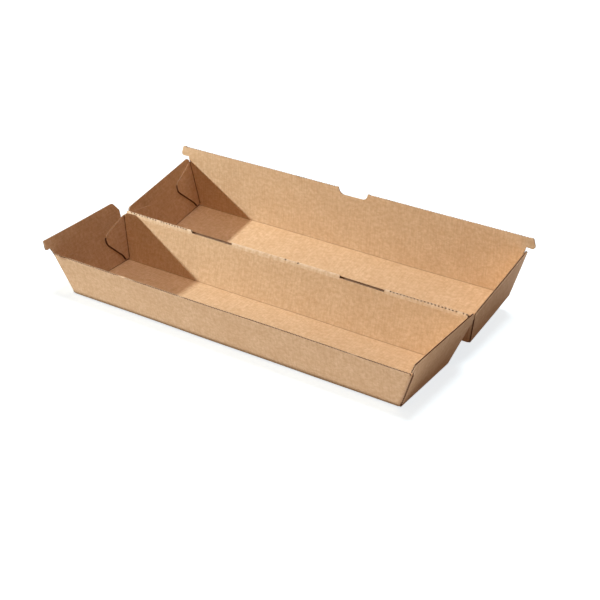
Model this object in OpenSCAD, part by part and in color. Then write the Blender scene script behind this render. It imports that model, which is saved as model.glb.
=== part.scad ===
// Take-away baguette box of fine corrugated kraft board, shown open.
// One die-cut sheet is folded and glued into two long trays, the base and the lid,
// which share a perforated fold line along the ridge between them.
// X runs along the box, +Y from the base to the lid and +Z up.
// The origin is the middle of the underside of the base floor.
// Each tray is laid out with its front wall on -Y and its ridge wall on +Y, floor down.

/* [Board] */
// Thickness of the corrugated board
board_t = 1.2; // [1:0.1:1.4]
// Depth that a glued flap and the wall outside it press into each other
glue_press = 0.05; // [0.03:0.01:0.1]
// Width of the bead of board pushed up inside each fold
fold_bead = 0.35; // [0.2:0.05:0.5]

/* [Base tray] */
// Length of the base floor between its end folds
base_floor_l = 288.4; // [250:1:330]
// Width of the base floor between its long folds
base_floor_w = 63.1; // [54:0.5:76]
// Height of the front wall along its slope
base_front_s = 32.3; // [30:0.5:36]
// Lean of the front wall outwards from upright
base_front_lean = 10.4; // [8:0.1:12]
// Height of the ridge wall along its slope, up to the fold line
base_ridge_s = 37.1; // [36:0.1:40]
// Lean of the ridge wall outwards from upright
base_ridge_lean = 17.9; // [16:0.1:20]
// Lean of the end walls outwards from upright
base_end_lean = 20.7; // [19.5:0.1:22]

/* [Lid tray] */
// How much shorter the lid floor is than the base floor
lid_shorter = 0.8; // [0.4:0.1:3]
// How much higher the lid's ridge wall is than the base's, along its slope
lid_ridge_extra = 3.8; // [3:0.1:5]
// Lean of the lid's ridge wall outwards from upright
lid_ridge_lean = 19.6; // [18:0.1:21]
// Height of the lid's front wall along its slope, up to the rim
lid_front_s = 37.7; // [36:0.1:39]
// Lean of the lid's front wall outwards from upright
lid_front_lean = 14.9; // [13:0.1:16]
// Gap between the closed lid's front wall and the base's front rim
lid_front_clear = 1.25; // [1:0.05:2]
// Gap between the closed lid's end walls and the base's end walls, at the ridge
lid_end_clear = 0.5; // [0.4:0.05:1.5]
// Gap between the table and the open lid's lower fold
table_gap = 0.05; // [0.02:0.01:0.2]

/* [Locks] */
// Height of the base's lock wings above the front rim, along their slope
wing_h = 12.2; // [11:0.1:13]
// Height of the neck under each wing's ear
wing_neck_h = 4.9; // [4:0.1:5.5]
// Reach of each wing's ear in front of its neck
wing_ear_reach = 4.7; // [4:0.1:5]
// Height of the lid's lock strip beyond the rim, along its slope
strip_h = 11.1; // [10:0.1:12]
// Height of the neck under each ear of the strip
strip_neck_h = 3.1; // [2.5:0.1:3.5]
// Reach of each ear of the strip past its neck
strip_ear_reach = 8; // [7:0.1:8.5]
// Width of the thumb notch at the edge of the strip
thumb_w = 26.8; // [20:0.2:34]
// Depth of the thumb notch
thumb_depth = 5.6; // [5.2:0.1:7]
// Shift of the thumb notch from the middle of the box
thumb_shift = 6.4; // [-20:0.2:20]

/* [Glue flaps] */
// Gap between the tips of the two flaps at each end of the base
base_flap_gap = 21.4; // [16:0.2:30]
// Gap between the tips of the two flaps at each end of the lid
lid_flap_gap = 22.4; // [16:0.2:30]
// Drop of a flap's upper edge from its fold to its tip
flap_drop = 5.8; // [4:0.1:8]
// Height of a flap's blunt tip
flap_tip_h = 7; // [6.5:0.5:9]
// Radius of the corners of a flap's tip
flap_tip_r = 3; // [1:0.5:3]

/* [Ridge] */
// Length of the fold line between the trays
ridge_l = 305.4; // [290:0.5:306]
// Thickness of the crushed board beside the fold line
web_t = 0.5; // [0.3:0.05:0.7]
// Width of the crushed band on each side of the fold line
web_s = 1.7; // [1.4:0.1:2.5]
// Diameter of the bead of board that the fold line runs in
bead_d = 0.9; // [0.8:0.05:1]
// Gap between the bead and the lid's crushed edge
bead_gap = 0.35; // [0.3:0.05:0.5]
// Length of each slot cut along the fold line
slot_l = 38; // [20:1:60]
// Distance between the middles of the two slots
slot_pitch = 135; // [100:1:180]

/* [Hidden] */

// Number of flat steps round a fold, round a cut corner and round the fold line's bead
fold_steps = 4;
corner_steps = 8;
bead_sides = 24;

// Radii of cut corners
ear_r = 0.8;
ear_low_r = 1.6;
strip_ear_r = 1.6;
strip_ear_low_r = 2.2;
neck_r = 0.8;
wing_r = 3;
rim_corner_r = 2;
flap_foot_r = 6;
relief_r = 1;

// Steps of the lock wing's outline, from the corner named last
ear_low_drop = 0.6;
ear_top_in = 1.2;
wing_rear_w = 4.8;
wing_rear_h = 7.4;
wing_foot_in = 0.6;
wing_foot_h = 1;

// Steps of the lock strip's outline, from the corner named last
strip_neck_out = 0.8;
strip_ear_out = 0.6;
strip_ear_low_drop = 0.5;
strip_ear_in = 1.8;
thumb_r = thumb_depth - 0.2;

// Steps of the lid's end wall: below the rim, at its front corner and at its rear corner
lid_rim_step = 0.7;
lid_corner_w = 1.4;
lid_corner_h = 2.2;
lid_rear_step = 0.9;

// Steps of a glue flap's outline: its foot, the cut above the foot and its slanted tip
flap_foot_w = 3.6;
flap_cut_w = 5.2;
flap_cut_h = 4.4;
flap_tip_in = 0.5;

// Distances from the tops of the walls to the tops of their folds to the flaps
base_front_flap_step = 0.9;
lid_front_flap_step = 1.6;
ridge_flap_step = 1.8;

// Relief cut at each end of a ridge wall
relief_h = 1;
relief_low_x = 1.2;
relief_top_x = 0.2;

kraft_base = [0.84, 0.69, 0.51];
kraft_lid = [0.81, 0.65, 0.47];

// Distance from the middle to a leaning wall's inner face, at height z over the floor
function inner(half, lean, z) = half + z * tan(lean);

// Rounded outline: each corner is [x, y, radius]
function unit(v) = v / norm(v);
function corner_arc(a, p, b) =
    let (
        to_a = unit([a[0] - p[0], a[1] - p[1]]),
        to_b = unit([b[0] - p[0], b[1] - p[1]]),
        half = acos(to_a * to_b) / 2,
        centre = [p[0], p[1]] + unit(to_a + to_b) * p[2] / sin(half),
        turn = to_a[0] * to_b[1] - to_a[1] * to_b[0] > 0 ? 1 : -1,
        start = atan2(-to_a[0] * turn, to_a[1] * turn),
        step = turn * (2 * half - 180) / corner_steps
    )
    [for (i = [0:corner_steps])
        centre + p[2] * [cos(start + step * i), sin(start + step * i)]];
function rounded(pts) =
    let (n = len(pts))
    [for (i = [0:n - 1])
        each pts[i][2] == 0 ? [[pts[i][0], pts[i][1]]]
            : corner_arc(pts[(i + n - 1) % n], pts[i], pts[(i + 1) % n])];

// The whole outline from its right half, listed from the bottom up
function both_sides(right) =
    concat(right, [for (i = [len(right) - 1:-1:0]) [-right[i][0], right[i][1], right[i][2]]]);

// How far a crushed fold lies under the faces of its panels, and runs past their ends
fold_skin = 0.09;
fold_end = 0.12;
// Angle by which a fold's round side reaches into each panel
fold_lap = 4;

// Section of a fold: a wedge round the inner corner, with a bead inside the corner.
// Its ends reach into the two panels that it joins.
function fold_section(sweep) =
    let (
        turn = sweep > 0 ? 1 : -1,
        r = board_t - fold_skin,
        first = -fold_lap * turn,
        step = (sweep - 2 * first) / fold_steps,
        last = [cos(sweep), sin(sweep)],
        ahead = fold_bead * turn * [-sin(sweep), cos(sweep)],
        behind = [0, -fold_bead * turn]
    )
    concat(
        [[fold_skin, 0] + behind, [r, 0] + behind],
        [for (i = [0:fold_steps]) r * [cos(first + step * i), sin(first + step * i)]],
        [r * last + ahead, fold_skin * last + ahead]
    );

// Fold along the line from p to q, between two panels' outward directions
module fold(p, q, from, to) {
    along = unit(q - p);
    across = cross(along, from);
    start = p - fold_end * along;
    multmatrix([
        [from[0], across[0], along[0], start[0]],
        [from[1], across[1], along[1], start[1]],
        [from[2], across[2], along[2], start[2]]
    ])
        linear_extrude(norm(q - p) + 2 * fold_end)
            polygon(fold_section(atan2(to * across, to * from)));
}

// Stands a panel on -Y: its outline's x runs along the fold and its y up the wall
module on_wall(half, lean) {
    translate([0, -half, board_t])
        rotate([90 + lean, 0, 0])
            linear_extrude(board_t)
                children();
}

// Inner face of a glue flap, and half the length of the wall that carries it
function flap_inset(l, end_lean) = l / 2 - (board_t - glue_press) / cos(end_lean);
function wall_half(l, end_lean, s, lean) =
    inner(flap_inset(l, end_lean), end_lean, s * cos(lean));

// Ends of the fold between a wall and its flap: heights over the floor
flap_low_z = 1.4;

// Outline of a glue flap on the -Y side, in the plane of the end wall
function flap_outline(w, lean, end_lean, top_z, gap) =
    let (
        low = flap_low_z / cos(end_lean),
        low_y = -inner(w / 2, lean, flap_low_z),
        top = top_z / cos(end_lean),
        top_y = -inner(w / 2, lean, top_z),
        tip = top - flap_drop
    )
    [
        [low_y, low, 0],
        [low_y + flap_foot_w, low, 0],
        [low_y + flap_cut_w, low + flap_cut_h, flap_foot_r],
        [-gap / 2 - flap_tip_in, tip - flap_tip_h, flap_tip_r],
        [-gap / 2, tip, flap_tip_r],
        [top_y, top, 0]
    ];

// A glue flap and its fold, on the -Y side of the +X end
module glue_flap(l, w, lean, end_lean, top_z, gap) {
    inset = flap_inset(l, end_lean);
    rotate([0, 0, 90])
        on_wall(inset, end_lean)
            polygon(rounded(flap_outline(w, lean, end_lean, top_z, gap)));
    fold(
        [inner(inset, end_lean, flap_low_z), -inner(w / 2, lean, flap_low_z),
            board_t + flap_low_z],
        [inner(inset, end_lean, top_z), -inner(w / 2, lean, top_z), board_t + top_z],
        [0, -cos(lean), -sin(lean)],
        [cos(end_lean), 0, -sin(end_lean)]
    );
}

// The floor, its four folds and the four flaps of one tray
module floor_and_flaps(l, w, front_lean, front_flap_z, ridge_lean, ridge_flap_z, end_lean, gap) {
    linear_extrude(board_t)
        square([l, w], center = true);
    foot = flap_inset(l, end_lean);
    fold([-foot, -w / 2, board_t], [foot, -w / 2, board_t], [0, 0, -1],
        [0, -cos(front_lean), -sin(front_lean)]);
    fold([-foot, w / 2, board_t], [foot, w / 2, board_t], [0, 0, -1],
        [0, cos(ridge_lean), -sin(ridge_lean)]);
    for (side = [0, 1])
        mirror([side, 0, 0]) {
            fold([l / 2, -w / 2, board_t], [l / 2, w / 2, board_t], [0, 0, -1],
                [cos(end_lean), 0, -sin(end_lean)]);
            glue_flap(l, w, front_lean, end_lean, front_flap_z, gap);
            mirror([0, 1, 0])
                glue_flap(l, w, ridge_lean, end_lean, ridge_flap_z, gap);
        }
}

// Both end walls of a tray from one outline
module end_walls(l, end_lean, outline) {
    for (side = [0, 1])
        mirror([side, 0, 0])
            rotate([0, 0, 90])
                on_wall(l / 2, end_lean)
                    polygon(rounded(outline));
}

// Stretches of the fold line between its ends and the two slots
slot_in = (slot_pitch - slot_l) / 2;
slot_out = (slot_pitch + slot_l) / 2;
ridge_spans = [[-ridge_l / 2, -slot_out], [-slot_in, slot_in], [slot_out, ridge_l / 2]];

// Ridge wall on +Y: full board up to the crushed band, which stops short at the slots
module ridge_wall(l, w, s, lean, end_lean, flap_z, web_top) {
    thick_top = s - web_s;
    web_root = board_t / 4;
    flap_s = flap_z / cos(lean);
    right = [
        [wall_half(l, end_lean, 0, lean), 0, 0],
        [wall_half(l, end_lean, flap_s, lean), flap_s, 0],
        [ridge_l / 2 + relief_low_x, thick_top - relief_h, relief_r],
        [ridge_l / 2 + relief_top_x, thick_top, 0]
    ];
    rotate([0, 0, 180])
        on_wall(w / 2, lean)
            polygon(rounded(both_sides(right)));
    rotate([0, 0, 180])
        translate([0, -w / 2, board_t])
            rotate([90 + lean, 0, 0])
                translate([0, 0, (board_t - web_t) / 2])
                    linear_extrude(web_t)
                        for (span = ridge_spans)
                            translate([span[0], thick_top - web_root])
                                square([span[1] - span[0], web_top - thick_top + web_root]);
}

// Middle of the board at the top of a ridge wall, as [y, z] of its tray
function ridge_point(w, s, lean) = [
    w / 2 + s * sin(lean) + board_t / 2 * cos(lean),
    board_t + s * cos(lean) - board_t / 2 * sin(lean)
];

// Height over the floor at which a ridge wall's folds to its flaps end
function ridge_flap_z(s, lean) = (s - web_s - ridge_flap_step) * cos(lean);

// Y of an end wall's front edge at distance q up it: just behind the front wall's outer face
front_setback = 0.5;
function front_edge(w, lean, q, end_lean) =
    -inner(w / 2, lean, q * cos(end_lean)) - board_t / cos(lean) + front_setback;

// Gap between the fold line and the end walls' rear edges
rear_gap = 3.4;

base_axis = ridge_point(base_floor_w, base_ridge_s, base_ridge_lean);
base_rim_z = base_front_s * cos(base_front_lean);

// End wall of the base with its lock wing, in its own plane
function base_end_outline() =
    let (
        rim = base_rim_z / cos(base_end_lean),
        notch = rim + wing_neck_h,
        notch_y = front_edge(base_floor_w, base_front_lean, notch, base_end_lean),
        top = rim + wing_h,
        rear = base_axis[0] - rear_gap
    )
    [
        [-base_floor_w / 2, 0, 0],
        [notch_y, notch, neck_r],
        [notch_y - wing_ear_reach, notch - ear_low_drop, ear_low_r],
        [notch_y - wing_ear_reach + ear_top_in, top, ear_r],
        [rear - wing_rear_w, top, wing_r],
        [rear, top - wing_rear_h, wing_r],
        [rear - wing_foot_in, rim + wing_foot_h, 0],
        [base_floor_w / 2, 0, 0]
    ];

// Front wall of the base: a plain strip with a straight rim
function base_front_outline() = both_sides([
    [wall_half(base_floor_l, base_end_lean, 0, base_front_lean), 0, 0],
    [wall_half(base_floor_l, base_end_lean, base_front_s, base_front_lean), base_front_s, 0]
]);

module base_tray() {
    flap_z = ridge_flap_z(base_ridge_s, base_ridge_lean);
    color(kraft_base) {
        floor_and_flaps(base_floor_l, base_floor_w, base_front_lean,
            base_rim_z - base_front_flap_step, base_ridge_lean, flap_z,
            base_end_lean, base_flap_gap);
        on_wall(base_floor_w / 2, base_front_lean)
            polygon(rounded(base_front_outline()));
        ridge_wall(base_floor_l, base_floor_w, base_ridge_s, base_ridge_lean, base_end_lean,
            flap_z, base_ridge_s);
        end_walls(base_floor_l, base_end_lean, base_end_outline());
        for (span = ridge_spans)
            translate([span[0] + fold_end, base_axis[0], base_axis[1]])
                rotate([0, 90, 0])
                    cylinder(d = bead_d, h = span[1] - span[0] - 2 * fold_end, $fn = bead_sides);
    }
}

// Lid: its width and its end lean follow from the base that it closes over
lid_floor_l = base_floor_l - lid_shorter;
lid_ridge_s = base_ridge_s + lid_ridge_extra;
lid_ridge_run = lid_ridge_s * sin(lid_ridge_lean) + board_t / 2 * cos(lid_ridge_lean);
lid_ridge_drop = lid_ridge_s * cos(lid_ridge_lean) - board_t / 2 * sin(lid_ridge_lean);
base_reach = base_axis[0] + inner(base_floor_w / 2, base_front_lean, base_rim_z)
    + board_t / cos(base_front_lean);
lid_floor_w = base_reach + lid_front_clear - lid_ridge_run - lid_front_s * sin(lid_front_lean);
ridge_room = inner(base_floor_l / 2, base_end_lean, base_axis[1] - board_t) - lid_end_clear;
end_wall_run = 1.05 * board_t;
lid_end_lean = atan((ridge_room - lid_floor_l / 2 - end_wall_run) / lid_ridge_drop);
lid_axis = ridge_point(lid_floor_w, lid_ridge_s, lid_ridge_lean);
lid_rim_z = lid_front_s * cos(lid_front_lean);

// Tilt at which the open lid's lower fold rests on the table
lid_tilt = acos((base_axis[1] - board_t - table_gap) / norm([lid_ridge_run, lid_ridge_drop]))
    - atan(lid_ridge_run / lid_ridge_drop);

// End wall of the lid, in its own plane
function lid_end_outline() =
    let (
        rim = (lid_rim_z - lid_rim_step) / cos(lid_end_lean),
        rim_y = front_edge(lid_floor_w, lid_front_lean, rim, lid_end_lean),
        rear = (lid_axis[1] - board_t - lid_rear_step) / cos(lid_end_lean)
    )
    [
        [-lid_floor_w / 2, 0, 0],
        [rim_y, rim, 0],
        [rim_y + lid_corner_w, rim + lid_corner_h, rim_corner_r],
        [lid_axis[0] - rear_gap, rear, wing_r],
        [lid_floor_w / 2, 0, 0]
    ];

// Front wall of the lid with its lock strip, ears and thumb notch
function lid_front_outline() =
    let (
        foot = wall_half(lid_floor_l, lid_end_lean, 0, lid_front_lean),
        neck = wall_half(lid_floor_l, lid_end_lean, lid_front_s, lid_front_lean),
        notch = lid_front_s + strip_neck_h,
        top = lid_front_s + strip_h,
        ear = neck + strip_ear_reach,
        thumb_a = -thumb_shift - thumb_w / 2,
        thumb_b = -thumb_shift + thumb_w / 2
    )
    [
        [-foot, 0, 0],
        [foot, 0, 0],
        [neck, lid_front_s, 0],
        [neck + strip_neck_out, notch, neck_r],
        [ear + strip_ear_out, notch - strip_ear_low_drop, strip_ear_low_r],
        [ear - strip_ear_in, top, strip_ear_r],
        [thumb_b, top, 0],
        [thumb_b, top - thumb_depth, thumb_r],
        [thumb_a, top - thumb_depth, thumb_r],
        [thumb_a, top, 0],
        [strip_ear_in - ear, top, strip_ear_r],
        [-ear - strip_ear_out, notch - strip_ear_low_drop, strip_ear_low_r],
        [-neck - strip_neck_out, notch, neck_r],
        [-neck, lid_front_s, 0]
    ];

module lid_tray() {
    flap_z = ridge_flap_z(lid_ridge_s, lid_ridge_lean);
    color(kraft_lid)
        translate([0, base_axis[0], base_axis[1]])
            rotate([lid_tilt, 0, 0])
                rotate([0, 0, 180])
                    translate([0, -lid_axis[0], -lid_axis[1]]) {
                        floor_and_flaps(lid_floor_l, lid_floor_w, lid_front_lean,
                            lid_rim_z - lid_front_flap_step, lid_ridge_lean, flap_z,
                            lid_end_lean, lid_flap_gap);
                        on_wall(lid_floor_w / 2, lid_front_lean)
                            polygon(rounded(lid_front_outline()));
                        ridge_wall(lid_floor_l, lid_floor_w, lid_ridge_s, lid_ridge_lean,
                            lid_end_lean, flap_z, lid_ridge_s - bead_d / 2 - bead_gap);
                        end_walls(lid_floor_l, lid_end_lean, lid_end_outline());
                    }
}

base_tray();
lid_tray();
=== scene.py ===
"""Take-away baguette box of kraft corrugated board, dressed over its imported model.

The trays are laid out in millimetres, each in its own frame with its front wall on -Y, its
ridge wall on +Y and the underside of its floor at Z 0. kept_in_box turns them into metres.
The studio, its lights and its camera are given in metres.
"""
import math

import bmesh
import bpy
from mathutils import Matrix, Vector, noise


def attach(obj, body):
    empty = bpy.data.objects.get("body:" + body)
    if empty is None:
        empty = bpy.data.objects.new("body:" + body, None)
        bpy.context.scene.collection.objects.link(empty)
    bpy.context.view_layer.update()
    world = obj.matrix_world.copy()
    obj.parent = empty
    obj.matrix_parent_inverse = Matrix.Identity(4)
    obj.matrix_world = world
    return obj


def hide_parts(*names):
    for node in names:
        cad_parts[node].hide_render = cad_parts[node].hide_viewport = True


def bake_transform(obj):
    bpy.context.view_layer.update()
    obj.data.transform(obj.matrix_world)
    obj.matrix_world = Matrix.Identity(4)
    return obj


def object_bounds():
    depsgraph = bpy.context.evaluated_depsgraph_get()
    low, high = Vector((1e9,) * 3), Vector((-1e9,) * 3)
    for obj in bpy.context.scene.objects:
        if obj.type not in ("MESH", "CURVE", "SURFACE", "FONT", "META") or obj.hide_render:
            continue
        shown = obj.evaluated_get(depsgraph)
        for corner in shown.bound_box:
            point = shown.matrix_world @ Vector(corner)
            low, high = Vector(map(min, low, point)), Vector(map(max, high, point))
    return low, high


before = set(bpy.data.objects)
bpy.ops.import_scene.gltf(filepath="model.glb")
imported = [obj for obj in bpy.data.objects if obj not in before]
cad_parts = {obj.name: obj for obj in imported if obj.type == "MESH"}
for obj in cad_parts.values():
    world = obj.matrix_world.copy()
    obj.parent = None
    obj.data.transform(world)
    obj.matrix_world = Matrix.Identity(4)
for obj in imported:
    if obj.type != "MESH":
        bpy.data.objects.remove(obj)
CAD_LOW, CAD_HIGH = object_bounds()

MM = 0.001

# The noise functions start from a random seed unless one is set
NOISE_SEED = 4
noise.seed_set(NOISE_SEED)

# Board. In names L is a length along the box, W any other width, S a distance up a wall's
# slope, H a height within an outline, Z a height over the floor and R a radius
BOARD = 1.2
GLUE_PRESS = 0.05
LINER = 0.2
FLUTE_PITCH = 2.4

# Base tray, as in the part's source
BASE_FLOOR_L, BASE_FLOOR_W = 288.4, 63.1
BASE_FRONT_S, BASE_FRONT_LEAN = 32.3, math.radians(10.4)
BASE_RIDGE_S, BASE_RIDGE_LEAN = 37.1, math.radians(17.9)
BASE_END_LEAN = math.radians(20.7)
WING_H, WING_R, WING_REAR_W, WING_REAR_H = 12.2, 3, 4.8, 7.4
WING_NECK_H, NECK_R = 4.9, 0.8
WING_FOOT_IN, WING_FOOT_H = 0.6, 1
EAR_REACH, EAR_TOP_IN, EAR_LOW_DROP, EAR_R, EAR_LOW_R = 4.7, 1.2, 0.6, 0.8, 1.6
BASE_FLAP_GAP, BASE_FRONT_FLAP_STEP = 21.4, 0.9

# Lid tray, as in the part's source, which works out LID_FLOOR_W, LID_END_LEAN and LID_TILT
LID_FLOOR_L, LID_FLOOR_W = 287.6, 59.3956
LID_FRONT_S, LID_FRONT_LEAN = 37.7, math.radians(14.9)
LID_RIDGE_S, LID_RIDGE_LEAN = 40.9, math.radians(19.6)
LID_END_LEAN = math.radians(17.2626)
LID_TILT = math.radians(10.5383)
LID_RIM_STEP, LID_REAR_STEP = 0.7, 0.9
LID_CORNER_W, LID_CORNER_H, RIM_CORNER_R = 1.4, 2.2, 2
STRIP_H, STRIP_NECK_H, STRIP_NECK_OUT = 11.1, 3.1, 0.8
STRIP_EAR_REACH, STRIP_EAR_OUT, STRIP_EAR_IN, STRIP_EAR_LOW_DROP = 8.0, 0.6, 1.8, 0.5
STRIP_EAR_R, STRIP_EAR_LOW_R = 1.6, 2.2
THUMB_W, THUMB_DEPTH, THUMB_SHIFT = 26.8, 5.6, 6.4
THUMB_R = THUMB_DEPTH - 0.2
LID_FLAP_GAP, LID_FRONT_FLAP_STEP = 22.4, 1.6

# Glue flaps and ridge, as in the part's source but for the flaps' rounder tips
FLAP_DROP, FLAP_TIP_H, FLAP_TIP_R, FLAP_LOW_Z = 5.8, 7.0, 6.0, 1.4
FLAP_FOOT_W, FLAP_CUT_W, FLAP_CUT_H, FLAP_FOOT_R = 3.6, 5.2, 4.4, 6.0
RIDGE_L, SLOT_L, SLOT_PITCH = 305.4, 38.0, 135.0
RIDGE_FLAP_STEP = 1.8
RELIEF_H, RELIEF_LOW_X, RELIEF_TOP_X, RELIEF_R = 1, 1.2, 0.2, 1.0
CRUSHED_S = 1.7
FOLD_LINE_R = 0.45
REAR_GAP, FRONT_SETBACK = 3.4, 0.5

# Where the scene's board departs from the source: a long wall's foot reaches the end wall,
# a seam stays open down the base's front corners, and the lock strip's rim has teeth
FOOT_S, FOOT_STEP = 1.5, 0.01
SEAM_GAP, SEAM_DROP = 0.9, 1
TOOTH_PITCH, TOOTH_DEPTH = 2.4, 0.7
TEETH_FROM_EAR, TEETH_FROM_THUMB = 4.8, 2

# How finely panels are divided: a grid, and two rows beside each fold and rim over which
# its mark fades. OUTER_SHARE is the strength of the mark's wider part
GRID = 6.0
EDGE_ROWS = (0.7, 2.2)
OUTER_SHARE = 0.5
CORNER_STEPS = 8
# Corners this near the top count as its rim, and cuts this near a corner go through it
RIM_BAND, CUT_SNAP = 1, 1e-4

# How far the board strays from flat: slow waves all over and ragged cut edges
WAVE_SIZE, WAVE_DEPTH = 75.0, 0.45
WAVE_SHIFT = Vector((311.0, 97.0, 13.0))
RAGGED_SIZE, RAGGED_DEPTH = 1.7, 0.07
SMOOTH_ANGLE, STRIP_SMOOTH_ANGLE = math.radians(32), math.radians(40)

# Rounded folds: an outer skin just inside the board's faces and a bead in the inner corner
FOLD_STEPS, FOLD_LAP, FOLD_SINK = 10, math.radians(4), 0.01
BEAD_STEPS, BEAD_R = 4, 0.4
FOLD_WEAR, SKIN_CREASE = 0.75, 0.6

# Wear is 1 on cut edges. A crease up to 1 is a scored line darkened with painted shade, and
# from 1 to 2 it turns dark with painted shade
LONG_CREASE, END_CREASE, FLAP_CREASE = 1.25, 1.6, 2.0

# How far the fluting is set back and how open it shows at cut edges: 0 pressed shut, 1 open,
# 2 open and darkened all over with painted shade. Open flutes show their hollows as painted
# shade. The last line says where the painted shade on the end walls' side edges ends
FLUTES_BACK = 0.06
HIDDEN_FLUTES, BASE_RIM_FLUTES, LID_RIM_FLUTES, END_FLUTES = 0.5, 0.6, 0.25, 0.9
RIDGE_SHADED_FLUTES, SHADED_FLUTES = 1.8, 2.0
SEAM_SHADED_FLUTES, SEAM_SHADE_RISE = 1.2, 0.6
BASE_SEAM_OVER_RIM, LID_SEAM_UNDER_RIM = 3, 2

# Painted shadow, a dark ribbon, under a glue flap's lower edge, and how far over its tip it
# ends.
# On the flaps of a tray's other side it, and the painted shade on their cut edge, end lower
SHADOW_W, SHADOW_LIFT, SHADOW_UNDER = 0.75, 0.03, 0.2
SHORT_SHADE_DROP, SHORT_SHADOW_TOP = 4, -3
BASE_SHADOW_TOP, LID_SHADOW_TOP = 1, -3

# Strip of liner over the ridge: its points on each ridge wall, as distances back from the
# fold line and over the middle of the board, its turn round that line and its thickness
STRIP_SKIN = ((CRUSHED_S + 1.2, BOARD / 2 + 0.02), (CRUSHED_S + 0.1, BOARD / 2 + 0.02),
              (CRUSHED_S - 0.5, FOLD_LINE_R + 0.02), (0.6, FOLD_LINE_R))
STRIP_TURNS, STRIP_T = 6, 0.22
STRIP_SHEET_STEP, STRIP_EDGE_POINTS, STRIP_EDGE_WEAR = 0.3, 3, 0.5
# Its perforation: ties and cuts, how uneven they are, and which cuts are torn open
TIE_L, CUT_L = 1.6, 1.2
TIE_JITTER, JITTER_STEP, JITTER_PLACE = 0.06, (0.9, 3.1), 7.0
TORN_REACH, TORN_STEP, TORN_PLACE = 4, 0.23, (5.0, 1.0)
TORN_LIMIT, TORN_LIMIT_AT_ENDS = 0.3, -0.3

# Materials of a tray, in the order of its slots
INSIDE, OUTSIDE, CUT, FOLD = range(4)

# Colours of the kraft
KRAFT_LIGHT = (0.755, 0.52, 0.315, 1)
KRAFT_MID = (0.64, 0.408, 0.225, 1)
KRAFT_DARK = (0.50, 0.282, 0.135, 1)
KRAFT_FLECK = (0.27, 0.16, 0.085, 1)
KRAFT_WORN = (0.84, 0.65, 0.46, 1)
# FLUTE_SHADE is painted shade: for the hollows of open flutes, cut edges marked as in shade,
# the shadow under glue flaps and dark creases
FLUTE_SHADE = (0.12, 0.052, 0.024, 1)

# Patterns of the kraft: scale per millimetre along, across and through the sheet, then
# detail and roughness
PATTERNS = {
    "clouds": ((0.05, 0.07, 0.9), 4.0, 0.6),
    "mottle": ((0.30, 0.42, 0.9), 5.0, 0.7),
    "streaks": ((0.95, 0.11, 0.9), 3.0, 0.55),
    "fibres": ((0.5, 3.2, 0.9), 4.0, 0.6),
    "flecks": ((0.9, 1.6, 0.9), 2.0, 0.5),
}
# Darker patterns over the mottle: where each starts and is full, its strength and colour
STAINS = (
    ("clouds", 0.38, 0.7, 0.27, KRAFT_DARK),
    ("streaks", 0.42, 0.7, 0.26, KRAFT_DARK),
    ("fibres", 0.5, 0.72, 0.4, KRAFT_DARK),
    ("flecks", 0.66, 0.76, 0.5, KRAFT_FLECK),
)
# Ranges for spread: the range that is read and, where it isn't 0 to 1, the range that comes
# out. A bump is its strength and its distance in metres
MOTTLE_MIX, SCUFF_MIX, STREAK_MIX = (0.40, 0.60), (0.3, 0.6), (0.35, 0.6)
# Crease ranges: a scored line with painted shade, then darker painted shade
CREASE_DARK, CREASE_SHADE = (0.4, 1.0, 0.0, 0.5), (1.0, 2.0, 0.0, 0.8)
KRAFT_ROUGHNESS = (0.3, 0.7, 0.78, 0.92)
WEAR_START = 0.2
FLUTE_WOBBLE, FLUTE_TONE, FLUTE_HEIGHT, MOTTLE_HEIGHT = 2.2, 0.17, 0.25, 1.6
KRAFT_BUMP, KRAFT_SPECULAR = (0.4, 0.0001), 0.22

# Cut edge: swing and line of the fluting, line of the liners, and where it is crushed
FLUTE_SWING, FLUTE_LINE, LINER_LINE = 0.32, (0.07, 0.15, 1.0, 0.0), (0.32, 0.38)
CRUSH_PATTERN, CRUSH_MIX, CRUSH_BIAS = ((0.03, 0.05, 0.0), 3.0, 0.7), (0.5, 0.62), 0.7
SPECK_PATTERN, SPECK_MIX = ((1.5, 1.5, 2.0), 3.0, 0.6), (0.35, 0.7)
# EDGE_SHADE darkens a cut edge marked over 1 all over with painted shade
EDGE_SHADE = (1.0, 2.0, 0.0, 0.9)
EDGE_BUMP, EDGE_ROUGHNESS, EDGE_SPECULAR = (0.8, 0.0003), 0.92, 0.15

# Floor and backdrop
FLOOR_REACH, BACKDROP_R = 8.0, 12.0
FLOOR_SINK, FLOOR_CELLS = 0.0002, 24
FLOOR_GRAIN, FLOOR_MIX, FLOOR_ROUGHNESS = ((9, 9, 9), 3.0, 0.55), (0.3, 0.7), 0.9
FLOOR_TONES = (0.72, 0.86, 0.92, 1), (0.74, 0.88, 0.94, 1)
FLOOR_GLOW_TINT, FLOOR_GLOW = (0.875, 0.948, 1.0, 1), 0.80
BACKDROP_GLOW = 0.84

# Lights: name, place, aim, size, power, tint, and whether the floor alone is left out
# (EXCLUDE) or alone is lit (INCLUDE)
LIGHTS = (
    ("key", (-1.16, -0.38, 0.54), (0, 0.04, 0.02), 0.035, 28.8, (0.82, 0.955, 1.0), "EXCLUDE"),
    ("top", (-0.45, -0.15, 1.2), (0, 0.04, 0), 0.6, 4.8, (1.0, 0.81, 0.62), "EXCLUDE"),
    ("floor", (0.1, 0.7, 3.0), (0.1, 0.7, 0), 1.1, 56.0, (1, 1, 1), "INCLUDE"),
    ("back", (0.0, 0.25, 0.9), (0, 0.04, 0), 0.5, 1.6, (0.65, 0.75, 1.0), "EXCLUDE"),
)
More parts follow.
